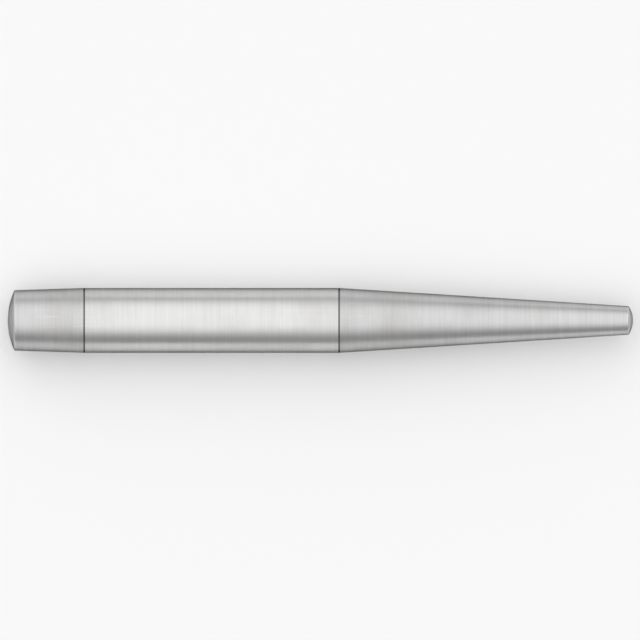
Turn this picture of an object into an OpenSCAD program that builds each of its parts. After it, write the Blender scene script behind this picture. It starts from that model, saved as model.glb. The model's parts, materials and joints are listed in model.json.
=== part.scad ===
// Barrel drift pin, which is driven through bolt holes in steelwork to bring them into line.
// It is one bar of steel, turned to shape: a crowned face for the hammer, a short tapered head,
// a parallel barrel that fills the hole, and a long tapered nose that ends in a crowned tip.
// The axis lies along X with the nose towards +X, and the origin is on it, halfway along the barrel.

/* [Barrel] */
// Diameter of the parallel barrel, which is the size of the hole that it fills
barrel_d = 20.6; // [20:0.1:40]
// Length of the parallel barrel
barrel_l = 81; // [20:0.5:160]

/* [Nose] */
// Length of the long taper, from the barrel to the rim of the tip
nose_l = 92; // [30:0.5:200]
// Diameter of the nose at the rim of the tip
tip_d = 9.1; // [6:0.1:20]
// Height of the crown on the tip
tip_crown = 1.4; // [0.6:0.1:3]

/* [Head] */
// Length of the short taper, from the barrel to the rim of the struck face
head_l = 22.2; // [8:0.1:60]
// Diameter of the head at the rim of the struck face
face_d = 19.2; // [12:0.1:20.6]
// Height of the crown on the struck face
face_crown = 2.1; // [0.6:0.1:6]

/* [Edges] */
// Radius that breaks the rim of each crowned end
rim_r = 0.5; // [0.2:0.1:1]

/* [Hidden] */
$fn = 128;
barrel_r = barrel_d / 2;
// Depth of a rim's round below the faces that it joins: a hair under its radius, so that it
// crosses both of them at a clear angle
rim_depth = 0.99 * rim_r;

// Radius of the sphere that stands a crown of this height on an end of this radius.
function crown_radius(end_r, crown) = (end_r * end_r + crown * crown) / (2 * crown);

// Centre of the round that breaks a rim, as radius and height above the barrel. It lies
// rim_depth inside the flank, which loses slope of radius for each millimetre of height, and
// rim_depth inside the crown's sphere, which is centred on the axis at height crown_y.
function rim_round_centre(slope, crown_r, crown_y) =
    let (
        spread = 1 + slope * slope,
        inner_r = barrel_r - rim_depth * sqrt(spread) - slope * crown_y,
        reach = crown_r - rim_depth,
        rise = (inner_r * slope + sqrt(spread * reach * reach - inner_r * inner_r)) / spread
    )
    [inner_r - slope * rise, crown_y + rise];

// Half profile of one end: radius along X, and height above the end of the barrel along Y.
// It is a taper, cut off at the crown's sphere, with the corner outside the rim's round cut away.
module tapered_end(end_d, taper_l, crown) {
    end_r = end_d / 2;
    slope = (barrel_r - end_r) / taper_l;
    crown_r = crown_radius(end_r, crown);
    crown_centre = [0, taper_l + crown - crown_r];
    rim_centre = rim_round_centre(slope, crown_r, crown_centre[1]);
    to_flank = [1, slope] / norm([1, slope]);
    to_crown = (rim_centre - crown_centre) / norm(rim_centre - crown_centre);
    margin = 2 * rim_r;
    blank_l = taper_l + crown + margin;
    difference() {
        polygon([[0, 0], [barrel_r, 0], [barrel_r - slope * blank_l, blank_l], [0, blank_l]]);
        difference() {
            translate([0, taper_l]) square([barrel_d, crown + 2 * margin]);
            translate(crown_centre) circle(crown_r);
        }
        translate(rim_centre) difference() {
            polygon(margin * [[0, 0], to_flank, to_flank + to_crown, to_crown]);
            circle(rim_r);
        }
    }
}

// Half profile of the whole pin, with the nose towards +Y.
module pin_profile() {
    translate([0, -barrel_l / 2]) square([barrel_r, barrel_l]);
    translate([0, barrel_l / 2]) tapered_end(tip_d, nose_l, tip_crown);
    mirror([0, 1]) translate([0, barrel_l / 2]) tapered_end(face_d, head_l, face_crown);
}

// The one piece of steel, turned about X.
module drift_pin() {
    color("gainsboro") rotate([0, 90, 0]) rotate_extrude() pin_profile();
}

drift_pin();
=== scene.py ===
import json
import math

import bpy
import numpy as np
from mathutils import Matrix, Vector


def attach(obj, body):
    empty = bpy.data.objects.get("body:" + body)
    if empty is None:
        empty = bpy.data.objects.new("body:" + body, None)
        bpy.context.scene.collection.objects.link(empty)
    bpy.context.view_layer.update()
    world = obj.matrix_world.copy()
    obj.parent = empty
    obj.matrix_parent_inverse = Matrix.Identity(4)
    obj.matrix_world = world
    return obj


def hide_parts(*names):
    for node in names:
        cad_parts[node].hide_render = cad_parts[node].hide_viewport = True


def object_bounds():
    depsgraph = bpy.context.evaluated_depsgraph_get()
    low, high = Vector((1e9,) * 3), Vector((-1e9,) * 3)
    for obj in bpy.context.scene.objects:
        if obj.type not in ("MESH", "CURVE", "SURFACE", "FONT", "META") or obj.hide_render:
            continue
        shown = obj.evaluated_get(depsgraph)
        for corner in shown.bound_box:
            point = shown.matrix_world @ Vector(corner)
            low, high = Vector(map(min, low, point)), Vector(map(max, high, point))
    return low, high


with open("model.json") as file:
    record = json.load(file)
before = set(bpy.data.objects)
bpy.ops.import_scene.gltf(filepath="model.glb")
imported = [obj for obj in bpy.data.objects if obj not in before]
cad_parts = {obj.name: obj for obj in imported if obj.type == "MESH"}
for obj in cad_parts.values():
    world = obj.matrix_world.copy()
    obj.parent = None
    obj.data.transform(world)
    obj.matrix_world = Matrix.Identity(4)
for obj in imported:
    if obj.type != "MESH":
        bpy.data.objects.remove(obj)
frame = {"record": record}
cad_low, cad_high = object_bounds()


# The view. The picture is a flat view with no perspective, square to the pin's axis. A round pin has
# the same outline from every side, so the camera looks straight down on the pin as it lies, and its
# frame is the picture's frame: the pin has the same length and the same place in it.
picture_px = 640
pin_length_px = 625.3
struck_apex_px = 7.7
axis_px = 320.4
camera_height = 0.5

metres_per_px = (cad_high.x - cad_low.x) / pin_length_px
camera = bpy.data.objects.new("camera", bpy.data.cameras.new("camera"))
camera.data.type = "ORTHO"
camera.data.ortho_scale = picture_px * metres_per_px
camera.location = (
    cad_low.x + (picture_px / 2 - struck_apex_px) * metres_per_px,
    (axis_px - picture_px / 2) * metres_per_px,
    camera_height,
)
bpy.context.scene.collection.objects.link(camera)
bpy.context.scene.camera = camera


# The pin. It is one bar of tool steel, turned from the crowned face that the hammer strikes to the
# crowned tip, and nothing is fixed to it. The head, the nose and both crowns keep the rings of the
# turning tool. The barrel is ground to size, and a fine line shows where the grinding ends.
mm = 0.001
barrel_size = frame["record"]["mounts"][0]["dims"]
barrel_r = barrel_size["r_mm"] * mm
barrel_half = barrel_size["length_mm"] * mm / 2
struck_rim_r = 9.6 * mm
struck_crown = 2.1 * mm
tip_rim_r = 4.55 * mm
tip_crown = 1.4 * mm
rim_round = 0.5 * mm
tool_line_depth = 0.05 * mm
tool_line_half = 0.15 * mm

struck_rim_x = cad_low.x + struck_crown
tip_rim_x = cad_high.x - tip_crown
head_slope = (barrel_r - struck_rim_r) / (-barrel_half - struck_rim_x)
nose_slope = (barrel_r - tip_rim_r) / (tip_rim_x - barrel_half)
rims_middle = (struck_rim_x + tip_rim_x) / 2
rims_half = (tip_rim_x - struck_rim_x) / 2


def crown_radius(rim_r, crown):
    """Radius of the arc, centred on the axis, that rises by crown over a rim of this radius."""
    return (rim_r**2 + crown**2) / (2 * crown)


def crowned_end(rim_r, slope, crown, crown_stations):
    """One end of the profile, from its flank to its apex, as distances out from the rim and radii.
    The crown is an arc about a point on the axis. A small arc breaks the rim. It touches the crown
    and the flank, so its centre lies one rim_round inside each: on the flank's line moved inwards,
    and on a circle about the crown's centre that is smaller than the crown by rim_round."""
    round_stations = 13
    crown_r = crown_radius(rim_r, crown)
    crown_centre = crown - crown_r
    spread = 1 + slope**2
    inner_r = rim_r - rim_round * math.sqrt(spread) - slope * crown_centre
    reach = crown_r - rim_round
    rise = (inner_r * slope + math.sqrt(spread * reach**2 - inner_r**2)) / spread
    round_out = crown_centre + rise
    round_r = inner_r - slope * rise
    meets_crown = math.atan2(rise, round_r)
    round_arc = np.linspace(math.atan(slope), meets_crown, round_stations)[:-1]
    crown_arc = np.linspace(meets_crown, math.pi / 2, crown_stations)
    out = [round_out + rim_round * np.sin(round_arc), crown_centre + crown_r * np.sin(crown_arc)]
    radius = [round_r + rim_round * np.cos(round_arc), crown_r * np.cos(crown_arc)]
    return np.concatenate(out), np.concatenate(radius)


def flank_radius(x):
    """Radius between the rims: the least of the head's cone, the barrel and the nose's cone, less a
    bell-shaped dip at each end of the barrel, where the grinding ends."""
    head = barrel_r + head_slope * (x + barrel_half)
    nose = barrel_r - nose_slope * (x - barrel_half)
    from_line = (np.abs(x) - barrel_half) / tool_line_half
    return np.minimum(np.minimum(head, nose), barrel_r) - tool_line_depth * np.exp(-(from_line**2))


def turned_profile():
    """The pin's half outline from apex to apex, as places along X and radii. Stations between the
    rims are even, with close ones across each tool line."""
    even_stations, line_stations = 121, 25
    line_reach = 3 * tool_line_half
    struck_out, struck_r = crowned_end(struck_rim_r, head_slope, struck_crown, crown_stations=49)
    tip_out, tip_r = crowned_end(tip_rim_r, nose_slope, tip_crown, crown_stations=25)
    struck_x = struck_rim_x - struck_out[::-1]
    tip_x = tip_rim_x + tip_out
    even = np.linspace(struck_x[-1], tip_x[0], even_stations)[1:-1]
    across = np.linspace(-line_reach, line_reach, line_stations)
    flank_x = np.unique(np.concatenate([even, across - barrel_half, across + barrel_half]))
    x = np.concatenate([struck_x, flank_x, tip_x])
    return x, np.concatenate([struck_r[::-1], flank_radius(flank_x), tip_r])


def hammered(points):
    """The struck face after some use. Each blow of the hammer leaves a small flat, square to the
    crown's radius there and a little below the crown. A point that stands above a flat is moved
    down onto it. The flats spread over the face by the golden angle, at radii that give each one
    the same share of the face, and their depths vary with the golden ratio."""
    flats = 9
    spread_r = 7.4 * mm
    least_depth, more_depth = 0.035 * mm, 0.05 * mm
    golden = (math.sqrt(5) - 1) / 2
    crown_r = crown_radius(struck_rim_r, struck_crown)
    centre = np.array([cad_low.x + crown_r, 0, 0])
    for blow in range(flats):
        lean = math.asin(spread_r * math.sqrt((blow + 0.5) / flats) / crown_r)
        turn = 2 * math.pi * golden * blow
        side = math.sin(lean)
        square = np.array([-math.cos(lean), side * math.cos(turn), side * math.sin(turn)])
        depth = least_depth + more_depth * (golden * blow % 1)
        above = (points - centre) @ square - (crown_r - depth)
        on_face = points[:, 0] < struck_rim_x
        points = points - np.outer(np.where(on_face, np.maximum(above, 0), 0), square)
    return points


def rolled_out(x, radius, columns):
    """The pin's skin rolled out flat: a place on the map for each corner of each face, in the order of
    pin_mesh. U is the angle as a share of a turn, and V is the length along the profile. The skin is
    cut at the nose's tool line, with the nose on the map's right half and the rest on its left."""
    gutter = 0.004
    length = np.concatenate([[0], np.cumsum(np.hypot(np.diff(x), np.diff(radius)))])
    cut = np.searchsorted(x, barrel_half)

    def place(on_nose, station, column):
        start = np.where(on_nose, length[cut], 0)
        end = np.where(on_nose, length[-1], length[cut])
        u = on_nose + gutter + (1 - 2 * gutter) * column / columns
        v = gutter + (1 - 2 * gutter) * (length[station] - start) / (end - start)
        return np.stack(np.broadcast_arrays(u / 2, v), axis=-1).reshape(-1, 2)

    row = np.arange(1, len(x) - 2)[:, None, None]
    column = np.arange(columns)[:, None]
    quads = place(row >= cut, row + [0, 0, 1, 1], column + [0, 1, 1, 0])
    struck_fan = place(False, np.array([0, 1, 1]), column + [0.5, 1, 0])
    tip_fan = place(True, np.array([-1, -2, -2]), column + [0.5, 0, 1])
    return np.concatenate([quads, struck_fan, tip_fan])


def pin_mesh(columns):
    """The half outline turned about the X axis. The point at station s and angle a is x(s) along the
    axis, radius(s) cos a along Y and radius(s) sin a along Z. The two apexes are one point each, and
    the last column joins the first. The map is named OFBake, so that the export bakes onto it."""
    x, radius = turned_profile()
    angle = np.linspace(0, 2 * math.pi, columns, endpoint=False)
    ring_x, ring_r = x[1:-1, None], radius[1:-1, None]
    ring = [ring_x + 0 * angle, ring_r * np.cos(angle), ring_r * np.sin(angle)]
    rings = np.stack(ring, axis=-1).reshape(-1, 3)
    points = hammered(np.concatenate([rings, [[x[0], 0, 0], [x[-1], 0, 0]]]))

    here = np.arange(len(rings)).reshape(-1, columns)
    beside = np.roll(here, -1, axis=1)
    struck_apex = np.full(columns, len(rings))
    quads = np.stack([here[:-1], beside[:-1], beside[1:], here[1:]], axis=-1).reshape(-1, 4)
    struck_fan = np.stack([struck_apex, beside[0], here[0]], axis=-1)
    tip_fan = np.stack([struck_apex + 1, here[-1], beside[-1]], axis=-1)
    mesh = bpy.data.meshes.new("turned_pin")
    mesh.from_pydata(points.tolist(), [], [*quads.tolist(), *struck_fan.tolist(), *tip_fan.tolist()])
    mesh.polygons.foreach_set("use_smooth", np.ones(len(mesh.polygons), dtype=bool))
    mesh.uv_layers.new(name="OFBake").data.foreach_set("uv", rolled_out(x, radius, columns).ravel())
    return mesh


def add(kind, *inputs, **settings):
    """Adds a node to the tree that its linked inputs are in, and returns its output. Each input is a
    socket to link or a value to set, in the order of the node's own sockets."""
    tree = next(value.id_data for value in inputs if isinstance(value, bpy.types.NodeSocket))
    node = tree.nodes.new(kind)
    for name, value in settings.items():
        setattr(node, name, value)
    for socket, value in zip([socket for socket in node.inputs if socket.enabled], inputs):
        if isinstance(value, bpy.types.NodeSocket):
            tree.links.new(value, socket)
        else:
            socket.default_value = value
    return next(socket for socket in node.outputs if socket.enabled)


def maths(operation, *values):
    """One step of arithmetic on numbers."""
    return add("ShaderNodeMath", *values, operation=operation)


def vectors(operation, *values):
    """One step of arithmetic on places or directions."""
    return add("ShaderNodeVectorMath", *values, operation=operation)


def apart(value, other):
    """How far one number is from another."""
    return maths("ABSOLUTE", maths("SUBTRACT", value, other))


def ramp(value, low, high, at_low=0.0, at_high=1.0):
    """Runs from at_low to at_high while value runs from low to high, and is level outside."""
    return add("ShaderNodeMapRange", value, low, high, at_low, at_high)


def fade(distance, core, edge):
    """Is 1 within core, and falls to 0 at edge."""
    return ramp(distance, core, edge, at_low=1.0, at_high=0.0)


def mix(share, one, other):
    """The number one where share is 0, and other where it is 1."""
    return add("ShaderNodeMix", share, one, other)


def tint(share, one, other, blend="MIX"):
    """The colour one where share is 0, and its blend with other where it is 1."""
    return add("ShaderNodeMix", share, one, other, data_type="RGBA", blend_type=blend)


def mottle(place, size, detail):
    """Noise from 0 to 1, with patches of this size along each axis. Detail adds finer patches."""
    scale, roughness = 1.0, 0.6
    patch = vectors("DIVIDE", place, size)
    return add("ShaderNodeTexNoise", patch, scale, detail, roughness)


def tool_rings(x, section, on_flank, on_barrel):
    """Rings left by the tools, as heights from 0 to 1. The noise is short along the tool's travel and
    long round the axis. The tool travels along the axis on the flanks, and out from it on the crowns.
    Turned rings lie in bands. Ground ones are finer and half as deep."""
    turned_ring, turned_band, ground_ring = 0.5 * mm, 4 * mm, 0.38 * mm
    ring_length = 16 * mm
    band_share = 0.35
    ground_low, ground_high = 0.25, 0.75
    travel = mix(on_flank, vectors("LENGTH", section), x)
    cut = vectors("ADD", section, add("ShaderNodeCombineXYZ", travel))
    rings = mottle(cut, (turned_ring, ring_length, ring_length), detail=3.0)
    bands = mottle(cut, (turned_band, ring_length, ring_length), detail=2.0)
    ground = mottle(cut, (ground_ring, ring_length, ring_length), detail=2.0)
    turned = maths("ADD", maths("MULTIPLY", rings, 1 - band_share), maths("MULTIPLY", bands, band_share))
    return mix(on_barrel, turned, ramp(ground, 0.0, 1.0, ground_low, ground_high))


def hairlines(x, section, on_flank, scuffed):
    """Fine scratches along the flanks, from 0 to 1, where the pin has slid through holes. They lie
    where a long thin noise passes its middle, within the scuffed patches. The noise is read on a
    cylinder as thick as the barrel, so that the scratches run straight along the tapers too."""
    scratch_length, scratch_apart = 60 * mm, 1.2 * mm
    noise_middle, scratch_half = 0.5, 0.02
    scuffed_from, scuffed_full = 0.45, 0.65
    outward = vectors("NORMALIZE", section)
    skin = vectors("MULTIPLY_ADD", outward, (barrel_r,) * 3, add("ShaderNodeCombineXYZ", x))
    noise = mottle(skin, (scratch_length, scratch_apart, scratch_apart), detail=1.0)
    scratches = fade(apart(noise, noise_middle), 0.0, scratch_half)
    where = maths("MULTIPLY", ramp(scuffed, scuffed_from, scuffed_full), on_flank)
    return maths("MULTIPLY", scratches, where)


def oil_stains(place):
    """Faint stains of dried oil, from 0 to 1: the higher patches of a noise with ragged edges."""
    stain_size = 18 * mm
    stain_from, stain_full = 0.45, 0.75
    return ramp(mottle(place, (stain_size,) * 3, detail=4.0), stain_from, stain_full)


def rubbed_rims(x, scuffed):
    """Metal rubbed bright on both rims, from 0 to 1. It fades over rubbed_reach along the axis, and is
    weaker where the pin is less scuffed."""
    rubbed_reach = 0.7 * mm
    scuffed_from, scuffed_full, least = 0.3, 0.6, 0.3
    from_rim = apart(apart(x, rims_middle), rims_half)
    near_rim = fade(from_rim, 0.0, rubbed_reach)
    return maths("MULTIPLY", near_rim, ramp(scuffed, scuffed_from, scuffed_full, least))


def tool_lines(x):
    """The dark in the two tool lines, from 0 to 1. It is full in a line's core and fades to its edge."""
    line_core, line_edge = 0.1 * mm, 0.35 * mm
    from_line = apart(maths("ABSOLUTE", x), barrel_half)
    return fade(from_line, line_core, line_edge)


def turned_steel():
    """Bright tool steel. The turned and the ground finish each have a colour and a roughness. The rings
    vary both, and stains, scratches, rubbed rims and the dark of the tool lines are laid over them."""
    turned_colour, turned_rough = (0.58, 0.58, 0.58, 1), 0.37
    ground_colour, ground_rough = (0.66, 0.66, 0.655, 1), 0.31
    ring_low, ring_high = 0.2, 0.8
    ring_dark, ring_bright, ring_rough, ring_depth = 0.84, 1.12, 0.03, 0.012 * mm
    stain_colour, stain_share, stain_rough = (0.46, 0.44, 0.41, 1), 0.3, 0.08
    rubbed_colour, rubbed_share, rubbed_rough = (0.78, 0.78, 0.78, 1), 0.6, -0.06
    scuffed_size, scratch_share, scratch_per_ring = 14 * mm, 0.25, 0.1
    line_colour = (0.06, 0.06, 0.06, 1)

    material = bpy.data.materials.new("turned_steel")
    material.use_nodes = True
    tree = material.node_tree
    shader = tree.nodes["Principled BSDF"]
    place = tree.nodes.new("ShaderNodeTexCoord").outputs["Object"]
    x = add("ShaderNodeSeparateXYZ", place)
    section = vectors("MULTIPLY", place, (0, 1, 1))
    on_flank = maths("COMPARE", x, rims_middle, rims_half)
    on_barrel = maths("COMPARE", x, 0.0, barrel_half)
    scuffed = mottle(place, (scuffed_size,) * 3, detail=2.0)
    rings = tool_rings(x, section, on_flank, on_barrel)
    scratches = hairlines(x, section, on_flank, scuffed)
    stains = oil_stains(place)
    rubbed = rubbed_rims(x, scuffed)

    colour = tint(on_barrel, turned_colour, ground_colour)
    colour = tint(1.0, colour, ramp(rings, ring_low, ring_high, ring_dark, ring_bright), "MULTIPLY")
    colour = tint(maths("MULTIPLY", stains, stain_share), colour, stain_colour)
    colour = tint(maths("MULTIPLY", scratches, scratch_share), colour, rubbed_colour)
    colour = tint(maths("MULTIPLY", rubbed, rubbed_share), colour, rubbed_colour)
    colour = tint(tool_lines(x), colour, line_colour)
    tree.links.new(colour, shader.inputs["Base Color"])

    rough = mix(on_barrel, turned_rough, ground_rough)
    rough = maths("ADD", rough, ramp(rings, ring_low, ring_high, -ring_rough, ring_rough))
    rough = maths("MULTIPLY_ADD", stains, stain_rough, rough)
    rough = maths("MULTIPLY_ADD", rubbed, rubbed_rough, rough)
    tree.links.new(rough, shader.inputs["Roughness"])

    bump = tree.nodes.new("ShaderNodeBump")
    bump.inputs["Distance"].default_value = ring_depth
    height = maths("MULTIPLY_ADD", scratches, -scratch_per_ring, rings)
    tree.links.new(height, bump.inputs["Height"])
    tree.links.new(bump.outputs["Normal"], shader.inputs["Normal"])

    # The rings run round the axis, so they spread reflections along it more than across it.
    round_axis = tree.nodes.new("ShaderNodeTangent")
    round_axis.direction_type = "RADIAL"
    round_axis.axis = "X"
    tree.links.new(round_axis.outputs["Tangent"], shader.inputs["Tangent"])
    shader.inputs["Metallic"].default_value = 1.0
    shader.inputs["Anisotropic"].default_value = 0.45
    shader.inputs["Anisotropic Rotation"].default_value = 0.25
    shader.inputs["Specular Tint"].default_value = (0.1, 0.1, 0.1, 1)
    return material


pin = bpy.data.objects.new("turned_pin", pin_mesh(columns=192))
pin.data.materials.append(turned_steel())
bpy.context.scene.collection.objects.link(pin)
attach(pin, "root")
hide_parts("drift_pin")


# The floor that the barrel lies on. It is a plain pale sheet with no gloss, wide enough to fill every
# view, and it isn't part of the pin.
floor_half = 20.0
floor_colour = (0.95, 0.95, 0.95, 1)
floor_corners = floor_half * np.array([(-1, -1, 0), (1, -1, 0), (1, 1, 0), (-1, 1, 0)])
floor_corners[:, 2] = cad_low.z
floor = bpy.data.objects.new("floor", bpy.data.meshes.new("floor"))
floor.data.from_pydata(floor_corners.tolist(), [], [(0, 1, 2, 3)])
floor_finish = bpy.data.materials.new("floor")
floor_finish.use_nodes = True
floor_shader = floor_finish.node_tree.nodes["Principled BSDF"]
floor_shader.inputs["Base Color"].default_value = floor_colour
floor_shader.inputs["Roughness"].default_value = 1.0
floor_shader.inputs["Specular IOR Level"].default_value = 0.0
floor.data.materials.append(floor_finish)
bpy.context.scene.collection.objects.link(floor)


# The light: a plain studio dome with one wide soft source overhead, a little to the back and left.
# The source fades out evenly towards the walls. Below the floor's level the dome is as bright as the
# floor, so that a low view, which starts under the floor in its lower part, is plain there too.
source_towards = (-0.2, 0.25, 0.95)
source_level, wall_level = 1.3, 0.35
fade_from, fade_to = 0.1, 0.9
studio = bpy.data.worlds.new("studio")
studio.use_nodes = True
dome = studio.node_tree
towards = dome.nodes.new("ShaderNodeTexCoord").outputs["Generated"]
facing = vectors("DOT_PRODUCT", towards, np.array(source_towards) / math.hypot(*source_towards))
level = add(
    "ShaderNodeMapRange", facing, fade_from, fade_to, wall_level, source_level,
    interpolation_type="SMOOTHSTEP",
)
below = maths("LESS_THAN", add("ShaderNodeSeparateXYZ", towards).node.outputs["Z"], 0.0)
dome.links.new(mix(below, level, floor_colour[0]), dome.nodes["Background"].inputs["Strength"])
dome.nodes["Background"].inputs["Color"].default_value = (1, 1, 1, 1)
bpy.context.scene.world = studio
bpy.context.scene.view_settings.view_transform = "Standard"
